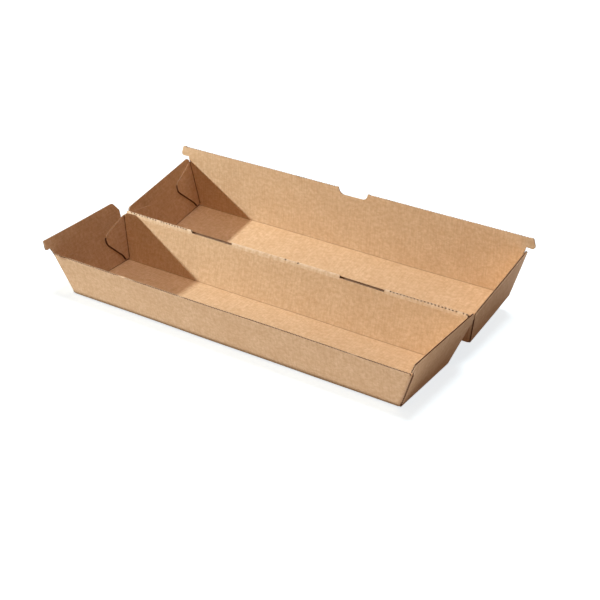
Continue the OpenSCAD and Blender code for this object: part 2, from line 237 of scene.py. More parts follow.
# Cards on the floor for the light that it throws back: name, x, y, length, width, power, tint
FLOOR_CARDS = (
    ("front_floor", 0.02, -0.222, 0.42, 0.376, 0.5, (0.94, 0.96, 1.0)),
    ("right_floor", 0.42, -0.05, 0.36, 0.5, 0.8, (0.74, 0.86, 1.0)),
    ("rear_floor", 0.0, 0.32, 0.46, 0.36, 0.75, (0.94, 0.96, 1.0)),
    ("left_floor", -0.42, 0.04, 0.36, 0.3, 0.6, (0.94, 0.96, 1.0)),
)
CARD_Z = 0.002
WORLD_TINT, WORLD_POWER = (1.0, 0.56, 0.32, 1), 0.178

# Camera
CAMERA_PLACE = (0.5264, -0.6921, 0.5104)
CAMERA_TURN, CAMERA_RISE, CAMERA_ROLL = (math.radians(a) for a in (34.92, 29.37, -1.15))
CAMERA_LENS, CAMERA_SENSOR, CAMERA_CLIP = 82.9, 36, (0.05, 50)


def inner(half, lean, z):
    """Distance from the middle to a leaning wall's inner face, at height z over the floor."""
    return half + z * math.tan(lean)


def flap_inset(length, end_lean):
    """Distance from the middle to a glue flap's inner face at the floor."""
    return length / 2 - (BOARD - GLUE_PRESS) / math.cos(end_lean)


def wall_half(length, end_lean, s, lean):
    """Half the length of a long wall at distance s up its slope."""
    return inner(flap_inset(length, end_lean), end_lean, s * math.cos(lean))


def wall_side(length, end_lean, s, lean):
    """Right side of a long wall's outline up to s: its foot reaches the end wall."""
    foot = inner(length / 2, end_lean, FOOT_S * math.cos(lean))
    return [(length / 2, 0, 0), (foot, FOOT_S, 0),
            (wall_half(length, end_lean, FOOT_S, lean), FOOT_S + FOOT_STEP, 0),
            (wall_half(length, end_lean, s, lean), s, 0)]


def corner_arc(a, p, b):
    """Points of the arc that rounds the corner p between its neighbours a and b."""
    corner = Vector(p[:2])
    to_a = (Vector(a[:2]) - corner).normalized()
    to_b = (Vector(b[:2]) - corner).normalized()
    half = to_a.angle(to_b) / 2
    centre = corner + (to_a + to_b).normalized() * p[2] / math.sin(half)
    reach = p[2] / math.tan(half)
    first = corner + to_a * reach - centre
    sweep = math.pi - 2 * half
    turn = 1 if to_a.x * to_b.y - to_a.y * to_b.x < 0 else -1
    return [centre + Matrix.Rotation(turn * sweep * i / CORNER_STEPS, 2) @ first
            for i in range(CORNER_STEPS + 1)]


def rounded(points):
    """Outline whose corners are (x, y, radius)."""
    outline = []
    for i, p in enumerate(points):
        if p[2] == 0:
            outline.append(Vector(p[:2]))
        else:
            outline += corner_arc(points[i - 1], p, points[(i + 1) % len(points)])
    return outline


def both_sides(right):
    """Whole outline from its right half, listed from the bottom up."""
    return right + [(-x, y, r) for x, y, r in reversed(right)]


class Tray:
    """Collects the panels and folds of one tray in one mesh.

    The last two arguments are the side, -1 at the front or 1 at the ridge, whose flaps get
    painted shade on their cut edge up to the tip, and how far over the tip the painted shadow
    under such a flap ends.
    """

    def __init__(self, name, body, node, place, loose_side, shadow_top):
        self.name, self.body, self.node, self.place = name, body, node, place
        self.loose_side, self.shadow_top = loose_side, shadow_top
        self.mesh = bmesh.new()
        self.sheet = self.mesh.verts.layers.float_vector.new("sheet")
        self.wear = self.mesh.verts.layers.float.new("wear")
        self.crease = self.mesh.verts.layers.float.new("crease")

    def vertex(self, point, sheet, wear=0.0, crease=0.0):
        """Adds one vertex with its place in the flat sheet, its wear and its crease.

        On a cut edge the crease says how open the flutes are, and over 1 how much painted
        shade the edge gets.
        """
        vert = self.mesh.verts.new(point)
        vert[self.sheet] = sheet
        vert[self.wear] = wear
        vert[self.crease] = crease
        return vert

    def face(self, verts, material):
        """Adds one face of the given material."""
        face = self.mesh.faces.new(verts)
        face.material_index = material
        face.smooth = True
        return face


def divided(outline, marks):
    """Flat mesh of an outline, cut along a grid and in rows beside the marked lines."""
    flat = bmesh.new()
    flat.faces.new([flat.verts.new((p.x, p.y, 0)) for p in outline])
    low_x, high_x = min(p.x for p in outline), max(p.x for p in outline)
    low_y, high_y = min(p.y for p in outline), max(p.y for p in outline)
    cuts = [((x * GRID, 0, 0), (1, 0, 0))
            for x in range(math.ceil(low_x / GRID), math.ceil(high_x / GRID))]
    cuts += [((0, y * GRID + low_y, 0), (0, 1, 0))
             for y in range(1, math.ceil((high_y - low_y) / GRID))]
    for p, q in marks:
        across = Vector((p[1] - q[1], q[0] - p[0], 0)).normalized()
        for row in EDGE_ROWS:
            for side in (-1, 1):
                cuts.append((Vector((*p, 0)) + across * row * side, across))
    for point, normal in cuts:
        geom = flat.verts[:] + flat.edges[:] + flat.faces[:]
        bmesh.ops.bisect_plane(flat, geom=geom, dist=CUT_SNAP, plane_co=point,
                               plane_no=normal)
    return flat


def nearness(x, y, marks):
    """1 on the nearest marked line, falling to 0 over the two rows beside it."""
    near, far = EDGE_ROWS
    nearest = far
    for p, q in marks:
        line = Vector(q) - Vector(p)
        t = min(max((Vector((x, y)) - Vector(p)).dot(line) / line.length_squared, 0), 1)
        nearest = min(nearest, (Vector(p) + line * t - Vector((x, y))).length)
    return max(OUTER_SHARE * (1 - nearest / far), 1 - nearest / near)


def add_panel(tray, origin, along, up, outline, sheet, mirror=False, folds=(), rims=(),
              flutes_and_shade=HIDDEN_FLUTES):
    """Adds a panel of full board: its inner face, its outer face and its cut edge.

    The outline's x runs along the fold and its y up the wall. sheet turns such a point into
    its place in the flat sheet. folds and rims are the lines that are creased and worn.
    The last argument says how open the cut edge is, and over 1 how much painted shade it gets,
    as a number or as a function of x and y.
    """
    origin, along, up = Vector(origin), Vector(along), Vector(up)
    out = along.cross(up) * (-1 if mirror else 1)
    flat = divided(outline, [*folds, *rims])
    layers = []
    for depth in (0.0, BOARD):
        layer = {}
        for vert in flat.verts:
            x, y = vert.co.x, vert.co.y
            point = origin + along * x + up * y + out * depth
            layer[vert] = tray.vertex(point, (*sheet(x, y), depth / BOARD),
                                      nearness(x, y, rims), nearness(x, y, folds))
        layers.append(layer)
    for face in flat.faces:
        tray.face([layers[0][v] for v in face.verts], INSIDE)
        tray.face([layers[1][v] for v in reversed(face.verts)], OUTSIDE)

    def edge_vertex(place, depth):
        point = origin + along * place.x + up * place.y + out * depth
        flutes = flutes_and_shade(place.x, place.y) if callable(flutes_and_shade) else flutes_and_shade
        return tray.vertex(point, (*sheet(place.x, place.y), depth / BOARD), 1.0, flutes)

    add_cut_edge(tray, flat, edge_vertex)
    flat.free()


def add_cut_edge(tray, flat, edge_vertex):
    """Closes a panel's sides with the two liners and the fluting set back between them."""
    rings = {}
    for edge in flat.edges:
        if not edge.is_boundary:
            continue
        for vert in edge.verts:
            if vert not in rings:
                place = vert.co + inward(vert) * FLUTES_BACK
                rings[vert] = [edge_vertex(vert.co, 0.0), edge_vertex(place, LINER),
                               edge_vertex(place, BOARD - LINER), edge_vertex(vert.co, BOARD)]
        a, b = (rings[v] for v in edge.verts)
        for i in range(3):
            tray.face([a[i], b[i], b[i + 1], a[i + 1]], CUT)


def inward(vert):
    """Direction from a boundary vertex into its panel."""
    total = Vector((0, 0, 0))
    for face in vert.link_faces:
        total += face.calc_center_median() - vert.co
    return total.normalized()


def fold_ring(sweep):
    """Cross-section of a fold as (radius, angle): its outer skin, then its inner bead."""
    lap = math.copysign(FOLD_LAP, sweep)
    ring = [(BOARD - FOLD_SINK, -lap + (sweep + 2 * lap) * i / FOLD_STEPS)
            for i in range(FOLD_STEPS + 1)]
    quarter = math.copysign(math.pi / 2, sweep)
    full = math.copysign(2 * math.pi, sweep)
    return ring + [(BEAD_R, sweep + quarter
                    + (full - quarter - sweep - quarter) * i / BEAD_STEPS)
                   for i in range(BEAD_STEPS + 1)]


def add_fold(tray, start, end, before, after, sheet_start, sheet_end, crease=LONG_CREASE):
    """Adds a rounded fold from start to end, between two panels' outward directions."""
    start, end, before, after = (Vector(v) for v in (start, end, before, after))
    line = (end - start).normalized()
    across = line.cross(before)
    ring = fold_ring(math.atan2(after.dot(across), after.dot(before)))
    stations = max(1, round((end - start).length / GRID))
    rows = []
    for k in range(stations + 1):
        t = k / stations
        base = start.lerp(end, t)
        u, v = Vector(sheet_start).lerp(Vector(sheet_end), t)
        row = []
        for radius, angle in ring:
            point = base + (before * math.cos(angle) + across * math.sin(angle)) * radius
            # The inner bead takes the crease value, which paints shade into the corner
            in_bead = radius == BEAD_R
            row.append(tray.vertex(point, (u, v, radius / BOARD),
                                   0.0 if in_bead else FOLD_WEAR,
                                   crease if in_bead else SKIN_CREASE))
        rows.append(row)
    for a, b in zip(rows, rows[1:]):
        for i in range(len(ring)):
            j = (i + 1) % len(ring)
            turns_in = i in (FOLD_STEPS, FOLD_STEPS + 1)
            tray.face([a[i], a[j], b[j], b[i]], INSIDE if turns_in else FOLD)
    tray.face(list(reversed(rows[0])), CUT)
    tray.face(rows[-1], CUT)


def flap_outline(width, lean, end_lean, top_z, gap):
    """Outline of a glue flap on the -Y side, in the plane of its end wall."""
    low = FLAP_LOW_Z / math.cos(end_lean)
    low_y = -inner(width / 2, lean, FLAP_LOW_Z)
    top = top_z / math.cos(end_lean)
    top_y = -inner(width / 2, lean, top_z)
    tip = top - FLAP_DROP
    return [(low_y, low, 0), (low_y + FLAP_FOOT_W, low, 0),
            (low_y + FLAP_CUT_W, low + FLAP_CUT_H, FLAP_FOOT_R),
            (-gap / 2, tip - FLAP_TIP_H / 2, FLAP_TIP_R), (top_y, top, 0)]


def add_glue_flap(tray, side, rear, length, width, lean, end_lean, top_z, gap):
    """Adds a glue flap and its fold; side is the end it is at, rear -1 for the front wall."""
    inset = flap_inset(length, end_lean)
    corners = flap_outline(width, lean, end_lean, top_z, gap)
    outline = [Vector((p.x * -rear, p.y)) for p in rounded(corners)]
    corners = [(x * -rear, y) for x, y, r in corners]
    origin = Vector((side * inset, 0, BOARD))
    up = Vector((side * math.sin(end_lean), 0, math.cos(end_lean)))
    out = Vector((side * math.cos(end_lean), 0, -math.sin(end_lean)))

    def sheet(x, y):
        return side * (length / 2 + abs(width / 2 - abs(x))), rear * (width / 2 + y)

    # Flaps on the shaded side get painted shade on their cut edge up to the tip, and a longer
    # painted shadow under it; the others get both only lower down
    loose = rear == tray.loose_side
    tip = corners[-2][1]
    shade_top = tip if loose else tip - SHORT_SHADE_DROP
    shadow_top = tip + (tray.shadow_top if loose else SHORT_SHADOW_TOP)
    add_panel(tray, origin, (0, 1, 0), up, outline, sheet, side < 0,
              folds=[(corners[0], corners[-1])], rims=[(corners[-2], corners[-1])],
              flutes_and_shade=lambda x, y: SHADED_FLUTES if y < shade_top else 0.0)
    add_flap_shadow(tray, [p for p in outline[1:-1] if p.y < shadow_top], rear, origin, up, out,
                 sheet)
    low, high = (
        (side * inner(inset, end_lean, z), rear * inner(width / 2, lean, z), BOARD + z)
        for z in (FLAP_LOW_Z, top_z))
    add_fold(tray, low, high, (0, rear * math.cos(lean), -math.sin(lean)), out,
             sheet(rear * width / 2, FLAP_LOW_Z), sheet(rear * width / 2, top_z), FLAP_CREASE)


def add_flap_shadow(tray, line, rear, origin, up, out, sheet):
    """Adds painted shadow along a flap's lower edge, on the end wall that it is glued to.

    It is a closed dark ribbon, from just under the flap to a ribbon's width beyond it.
    """
    bottom = BOARD - GLUE_PRESS - SHADOW_LIFT
    section = ((-SHADOW_UNDER, 0), (SHADOW_W, 0), (SHADOW_W, SHADOW_LIFT * 2), (-SHADOW_UNDER, SHADOW_LIFT * 2))
    rows = []
    for i, p in enumerate(line):
        step = (line[min(i + 1, len(line) - 1)] - line[max(i - 1, 0)]).normalized()
        away = Vector((step.y, -step.x)) * -rear
        row = []
        for reach, depth in section:
            q = p + away * reach
            point = origin + Vector((0, 1, 0)) * q.x + up * q.y + out * (bottom + depth)
            row.append(tray.vertex(point, (*sheet(q.x, q.y), 1.0), 0.0, SHADED_FLUTES))
        rows.append(row)
    for a, b in zip(rows, rows[1:]):
        for i in range(4):
            j = (i + 1) % 4
            tray.face([a[i], b[i], b[j], a[j]], CUT)
    tray.face(rows[0], CUT)
    tray.face(rows[-1][::-1], CUT)


def add_floor_and_flaps(tray, length, width, front_lean, front_flap_z, ridge_lean,
                        ridge_flap_z, end_lean, gap):
    """Adds the floor, its four folds and the four glue flaps."""
    x, y = length / 2, width / 2
    corners = [(-x, -y), (x, -y), (x, y), (-x, y)]
    add_panel(tray, (0, 0, BOARD), (1, 0, 0), (0, 1, 0), [Vector(p) for p in corners],
              lambda a, b: (a, b), True, folds=list(zip(corners, corners[1:] + corners[:1])))
    foot = flap_inset(length, end_lean)
    down = (0, 0, -1)
    for side, lean in ((-1, front_lean), (1, ridge_lean)):
        add_fold(tray, (-foot, side * y, BOARD), (foot, side * y, BOARD), down,
                 (0, side * math.cos(lean), -math.sin(lean)),
                 (-foot, side * y), (foot, side * y))
    for side in (-1, 1):
        add_fold(tray, (side * x, -y, BOARD), (side * x, y, BOARD), down,
                 (side * math.cos(end_lean), 0, -math.sin(end_lean)),
                 (side * x, -y), (side * x, y), END_CREASE)
        add_glue_flap(tray, side, -1, length, width, front_lean, end_lean, front_flap_z, gap)
        add_glue_flap(tray, side, 1, length, width, ridge_lean, end_lean, ridge_flap_z, gap)


def add_end_walls(tray, length, end_lean, outline, seam):
    """Adds both end walls from one outline; below seam their side edges get painted shade."""
    points = rounded(outline)
    corners = [p[:2] for p in outline]

    def flutes(x, y):
        return SEAM_SHADED_FLUTES + SEAM_SHADE_RISE * y / seam if y < seam else END_FLUTES

    for side in (-1, 1):
        add_panel(tray, (side * length / 2, 0, BOARD), (0, 1, 0),
                  (side * math.sin(end_lean), 0, math.cos(end_lean)), points,
                  lambda a, b, s=side: (s * (length / 2 + b), a), side < 0,
                  folds=[(corners[-1], corners[0])], rims=list(zip(corners, corners[1:])),
                  flutes_and_shade=flutes)


def wall_marks(outline):
    """Fold lines and rim of a long wall's outline, whose first points are wall_side's."""
    foot, left, right = outline[0][:2], outline[2][:2], outline[3][:2]
    folds = [((-foot[0], 0), foot)]
    folds += [((s * left[0], left[1]), (s * right[0], right[1])) for s in (-1, 1)]
    top = max(y for x, y, r in outline)
    reach = max(x for x, y, r in outline if y > top - RIM_BAND)
    return folds, [((-reach, top), (reach, top))]


def add_front_wall(tray, width, lean, outline, flutes_and_shade):
    """Adds the front wall on -Y."""
    folds, rims = wall_marks(outline)
    add_panel(tray, (0, -width / 2, BOARD), (1, 0, 0), (0, -math.sin(lean), math.cos(lean)),
              rounded(outline), lambda a, b: (a, -width / 2 - b), folds=folds, rims=rims,
              flutes_and_shade=flutes_and_shade)


def add_ridge_wall(tray, length, width, s, lean, end_lean, flap_z):
    """Adds the ridge wall on +Y, up to the crushed band along the fold line."""
    top = s - CRUSHED_S
    right = wall_side(length, end_lean, flap_z / math.cos(lean), lean) + [
        (RIDGE_L / 2 + RELIEF_LOW_X, top - RELIEF_H, RELIEF_R),
        (RIDGE_L / 2 + RELIEF_TOP_X, top, 0)]
    folds, rims = wall_marks(right)
    # The ridge wall's cut edges, seen in the slots, get painted shade
    add_panel(tray, (0, width / 2, BOARD), (-1, 0, 0), (0, math.sin(lean), math.cos(lean)),
              rounded(both_sides(right)), lambda a, b: (-a, width / 2 + b), folds=folds,
              rims=rims, flutes_and_shade=RIDGE_SHADED_FLUTES)


def ridge_point(width, s, lean):
    """Middle of the board at the top of a ridge wall, as (y, z) of its tray."""
    return (width / 2 + s * math.sin(lean) + BOARD / 2 * math.cos(lean),
            BOARD + s * math.cos(lean) - BOARD / 2 * math.sin(lean))


def ridge_flap_z(s, lean):
    """Height over the floor at which a ridge wall's folds to its flaps end."""
    return (s - CRUSHED_S - RIDGE_FLAP_STEP) * math.cos(lean)


def front_edge(width, lean, q, end_lean):
    """Y of an end wall's front edge at distance q up it."""
    return (-inner(width / 2, lean, q * math.cos(end_lean)) - BOARD / math.cos(lean)
            + FRONT_SETBACK)


BASE_AXIS = ridge_point(BASE_FLOOR_W, BASE_RIDGE_S, BASE_RIDGE_LEAN)
LID_AXIS = ridge_point(LID_FLOOR_W, LID_RIDGE_S, LID_RIDGE_LEAN)
BASE_RIM_Z = BASE_FRONT_S * math.cos(BASE_FRONT_LEAN)
LID_RIM_Z = LID_FRONT_S * math.cos(LID_FRONT_LEAN)
LID_PLACE = (Matrix.Translation((0, *BASE_AXIS)) @ Matrix.Rotation(LID_TILT, 4, "X")
             @ Matrix.Rotation(math.pi, 4, "Z")
             @ Matrix.Translation((0, -LID_AXIS[0], -LID_AXIS[1])))


def base_end_outline():
    """End wall of the base with its lock wing and ear."""
    rim = BASE_RIM_Z / math.cos(BASE_END_LEAN)
    seam = rim - SEAM_DROP
    seam_y = front_edge(BASE_FLOOR_W, BASE_FRONT_LEAN, seam, BASE_END_LEAN) + SEAM_GAP
    notch = rim + WING_NECK_H
    notch_y = front_edge(BASE_FLOOR_W, BASE_FRONT_LEAN, notch, BASE_END_LEAN)
    ear_y = notch_y - EAR_REACH
    top = rim + WING_H
    rear = BASE_AXIS[0] - REAR_GAP
    return [(-BASE_FLOOR_W / 2, 0, 0), (seam_y, seam, 0), (notch_y, notch, NECK_R),
            (ear_y, notch - EAR_LOW_DROP, EAR_LOW_R), (ear_y + EAR_TOP_IN, top, EAR_R),
            (rear - WING_REAR_W, top, WING_R), (rear, top - WING_REAR_H, WING_R),
            (rear - WING_FOOT_IN, rim + WING_FOOT_H, 0), (BASE_FLOOR_W / 2, 0, 0)]


def base_front_outline():
    """Front wall of the base: a plain strip with a straight rim."""
    return both_sides(wall_side(BASE_FLOOR_L, BASE_END_LEAN, BASE_FRONT_S, BASE_FRONT_LEAN))


def lid_end_outline():
    """End wall of the lid."""
    rim = (LID_RIM_Z - LID_RIM_STEP) / math.cos(LID_END_LEAN)
    rim_y = front_edge(LID_FLOOR_W, LID_FRONT_LEAN, rim, LID_END_LEAN)
    rear = (LID_AXIS[1] - BOARD - LID_REAR_STEP) / math.cos(LID_END_LEAN)
    return [(-LID_FLOOR_W / 2, 0, 0), (rim_y, rim, 0),
            (rim_y + LID_CORNER_W, rim + LID_CORNER_H, RIM_CORNER_R),
            (LID_AXIS[0] - REAR_GAP, rear, WING_R), (LID_FLOOR_W / 2, 0, 0)]


def teeth(start, end, y):
    """Small teeth that the cutting rule leaves along a rim at height y, from start to end."""
    pitch = (end - start) / round(abs(end - start) / TOOTH_PITCH)
    places = [start + pitch * i / 2 for i in range(round((end - start) / pitch) * 2 + 1)]
    return [(x, y - TOOTH_DEPTH * (i % 2), 0) for i, x in enumerate(places)]


def lid_front_outline():
    """Front wall of the lid with its lock strip, ears and thumb notch."""
    side = wall_side(LID_FLOOR_L, LID_END_LEAN, LID_FRONT_S, LID_FRONT_LEAN)
    neck = side[-1][0]
    notch = LID_FRONT_S + STRIP_NECK_H
    top = LID_FRONT_S + STRIP_H
    ear = neck + STRIP_EAR_REACH
    right = [*side, (neck + STRIP_NECK_OUT, notch, NECK_R),
             (ear + STRIP_EAR_OUT, notch - STRIP_EAR_LOW_DROP, STRIP_EAR_LOW_R),
             (ear - STRIP_EAR_IN, top, STRIP_EAR_R)]
    left = [(-x, y, r) for x, y, r in reversed(right)]
    thumb_a, thumb_b = -THUMB_SHIFT - THUMB_W / 2, -THUMB_SHIFT + THUMB_W / 2
    thumb = [(thumb_b, top, 0), (thumb_b, top - THUMB_DEPTH, THUMB_R),
             (thumb_a, top - THUMB_DEPTH, THUMB_R), (thumb_a, top, 0)]
    return [*right, *teeth(ear - TEETH_FROM_EAR, thumb_b + TEETH_FROM_THUMB, top), *thumb,
            *teeth(thumb_a - TEETH_FROM_THUMB, TEETH_FROM_EAR - ear, top), *left]


def strayed(point):
    """A point of the board moved by the slow waves of real board."""
    return point + noise.noise_vector((point + WAVE_SHIFT) / WAVE_SIZE) * WAVE_DEPTH


def kept_in_box(point):
    """The same point in metres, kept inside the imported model's box."""
    return Vector(min(max(point[i] * MM, CAD_LOW[i]), CAD_HIGH[i]) for i in range(3))


def add_object(name, mesh, materials, smooth_angle=None):
    """Turns a bmesh into an object of the scene."""
    data = bpy.data.meshes.new(name)
    mesh.to_mesh(data)
    mesh.free()
    for material in materials:
        data.materials.append(material)
    if smooth_angle:
        data.set_sharp_from_angle(angle=smooth_angle)
    obj = bpy.data.objects.new(name, data)
    bpy.context.scene.collection.objects.link(obj)
    return obj


def finish_tray(tray, materials):
    """Turns a tray's panels into one object that stands for its node."""
    for vert in tray.mesh.verts:
        point = strayed(tray.place @ vert.co)
        if vert[tray.wear] >= 1:
            point += noise.noise_vector(point / RAGGED_SIZE) * RAGGED_DEPTH
        vert.co = kept_in_box(point)
    bmesh.ops.recalc_face_normals(tray.mesh, faces=tray.mesh.faces)
    obj = add_object(tray.name, tray.mesh, materials, SMOOTH_ANGLE)
    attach(obj, tray.body)
    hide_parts(tray.node)


def make_base(materials):
    """The base tray."""
    tray = Tray("base_board", "base", "base_tray", Matrix.Identity(4), 1, BASE_SHADOW_TOP)
    flap_z = ridge_flap_z(BASE_RIDGE_S, BASE_RIDGE_LEAN)
    add_floor_and_flaps(tray, BASE_FLOOR_L, BASE_FLOOR_W, BASE_FRONT_LEAN,
                        BASE_RIM_Z - BASE_FRONT_FLAP_STEP, BASE_RIDGE_LEAN, flap_z,
                        BASE_END_LEAN, BASE_FLAP_GAP)
    add_front_wall(tray, BASE_FLOOR_W, BASE_FRONT_LEAN, base_front_outline(),
                   BASE_RIM_FLUTES)
    add_ridge_wall(tray, BASE_FLOOR_L, BASE_FLOOR_W, BASE_RIDGE_S, BASE_RIDGE_LEAN,
                   BASE_END_LEAN, flap_z)
    add_end_walls(tray, BASE_FLOOR_L, BASE_END_LEAN, base_end_outline(),
                  BASE_RIM_Z + BASE_SEAM_OVER_RIM)
    finish_tray(tray, materials)


def make_lid(materials):
    """The lid tray."""
    tray = Tray("lid_board", "lid", "lid_tray", LID_PLACE, -1, LID_SHADOW_TOP)
    flap_z = ridge_flap_z(LID_RIDGE_S, LID_RIDGE_LEAN)
    add_floor_and_flaps(tray, LID_FLOOR_L, LID_FLOOR_W, LID_FRONT_LEAN,
                        LID_RIM_Z - LID_FRONT_FLAP_STEP, LID_RIDGE_LEAN, flap_z,
                        LID_END_LEAN, LID_FLAP_GAP)
    add_front_wall(tray, LID_FLOOR_W, LID_FRONT_LEAN, lid_front_outline(), LID_RIM_FLUTES)
    add_ridge_wall(tray, LID_FLOOR_L, LID_FLOOR_W, LID_RIDGE_S, LID_RIDGE_LEAN,
                   LID_END_LEAN, flap_z)
    add_end_walls(tray, LID_FLOOR_L, LID_END_LEAN, lid_end_outline(),
                  LID_RIM_Z - LID_SEAM_UNDER_RIM)
    finish_tray(tray, materials)


def wall_directions(lean):
    """Directions up a ridge wall and from it into its tray, in the tray's frame."""
    return (Vector((0, math.sin(lean), math.cos(lean))),
            Vector((0, -math.cos(lean), math.sin(lean))))


def strip_lines():
    """Cross-section of the ridge strip from base to lid: its upper and its lower line."""
    axis = Vector((0, *BASE_AXIS))
    base_up, base_in = wall_directions(BASE_RIDGE_LEAN)
    lid_turn = LID_PLACE.to_3x3()
    lid_up, lid_in = (lid_turn @ way for way in wall_directions(LID_RIDGE_LEAN))
    upper = [axis - base_up * back + base_in * lift for back, lift in STRIP_SKIN]
    sweep = base_in.angle(lid_in)
    for i in range(STRIP_TURNS + 1):
        turned = Matrix.Rotation(-sweep * i / STRIP_TURNS, 3, "X") @ base_in
        upper.append(axis + turned * FOLD_LINE_R)
    upper += [axis - lid_up * back + lid_in * lift for back, lift in reversed(STRIP_SKIN)]
    lower = []
    for i, point in enumerate(upper):
        along = (upper[min(i + 1, len(upper) - 1)] - upper[max(i - 1, 0)]).normalized()
        normal = Vector((0, -along.z, along.y))
        if normal.dot(base_in + lid_in) < 0:
            normal = -normal
        lower.append(point - normal * STRIP_T)
    return upper, lower


def strip_stations(low, high):
    """Places along the ridge where each tie and each cut of the perforation starts."""
    count = round((high - low) / (TIE_L + CUT_L))
    pitch = (high - low) / count
    stations = []
    for k in range(count):
        stations += [low + pitch * k, low + pitch * k + pitch * TIE_L / (TIE_L + CUT_L)]
    return stations + [high]


def strip_row(mesh, sheet, wear, x, lines):
    """Adds the strip's vertices at one place along the ridge, line by line."""
    along, across = JITTER_STEP
    row = []
    for line in lines:
        verts = []
        for i, point in enumerate(line):
            jitter = noise.noise(Vector((x * along, i * across, JITTER_PLACE))) * TIE_JITTER
            place = Vector((x + jitter, point.y, point.z))
            vert = mesh.verts.new(kept_in_box(strayed(place)))
            vert[sheet] = (x, BASE_FLOOR_W / 2 + BASE_RIDGE_S + i * STRIP_SHEET_STEP, 0)
            from_edge = min(i, len(line) - 1 - i)
            vert[wear] = 1.0 if from_edge >= STRIP_EDGE_POINTS else STRIP_EDGE_WEAR
            verts.append(vert)
        row.append(verts)
    return row


def strip_cells(rows, low):
    """Cells of the strip between its rows, less the torn cuts of the perforation."""
    points = len(rows[0][0])
    middle = points // 2
    limit = TORN_LIMIT if abs(low) < SLOT_PITCH / 2 else TORN_LIMIT_AT_ENDS
    cells = []
    for k in range(len(rows) - 1):
        torn = noise.noise(Vector((low + k * TORN_STEP, *TORN_PLACE))) > limit
        for i in range(points - 1):
            if not (k % 2 == 1 and torn and middle - TORN_REACH <= i <= middle):
                cells.append((k, i))
    return cells


def add_strip_faces(mesh, rows, cells):
    """Adds the upper and lower faces of the cells, and closes the sides that lie open."""
    filled = set(cells)
    for k, i in cells:
        a, b = rows[k], rows[k + 1]
        for layer in (0, 1):
            quad = [a[layer][i], b[layer][i], b[layer][i + 1], a[layer][i + 1]]
            mesh.faces.new(quad if layer == 0 else quad[::-1]).smooth = True
        for neighbour, (row_p, p, row_q, q) in (
                ((k - 1, i), (a, i, a, i + 1)), ((k + 1, i), (b, i, b, i + 1)),
                ((k, i - 1), (a, i, b, i)), ((k, i + 1), (a, i + 1, b, i + 1))):
            if neighbour not in filled:
                side = mesh.faces.new([row_p[0][p], row_q[0][q], row_q[1][q], row_p[1][p]])
                side.material_index = 1


def make_ridge(material, edge_material):
    """The perforated strip of liner that crosses the ridge between the trays."""
    mesh = bmesh.new()
    sheet = mesh.verts.layers.float_vector.new("sheet")
    wear = mesh.verts.layers.float.new("wear")
    lines = strip_lines()
    slot_in, slot_out = (SLOT_PITCH - SLOT_L) / 2, (SLOT_PITCH + SLOT_L) / 2
    for low, high in ((-RIDGE_L / 2, -slot_out), (-slot_in, slot_in), (slot_out, RIDGE_L / 2)):
        rows = [strip_row(mesh, sheet, wear, x, lines) for x in strip_stations(low, high)]
        add_strip_faces(mesh, rows, strip_cells(rows, low))
    bmesh.ops.recalc_face_normals(mesh, faces=mesh.faces)
    obj = add_object("ridge_fold", mesh, [material, edge_material], STRIP_SMOOTH_ANGLE)
    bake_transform(obj)


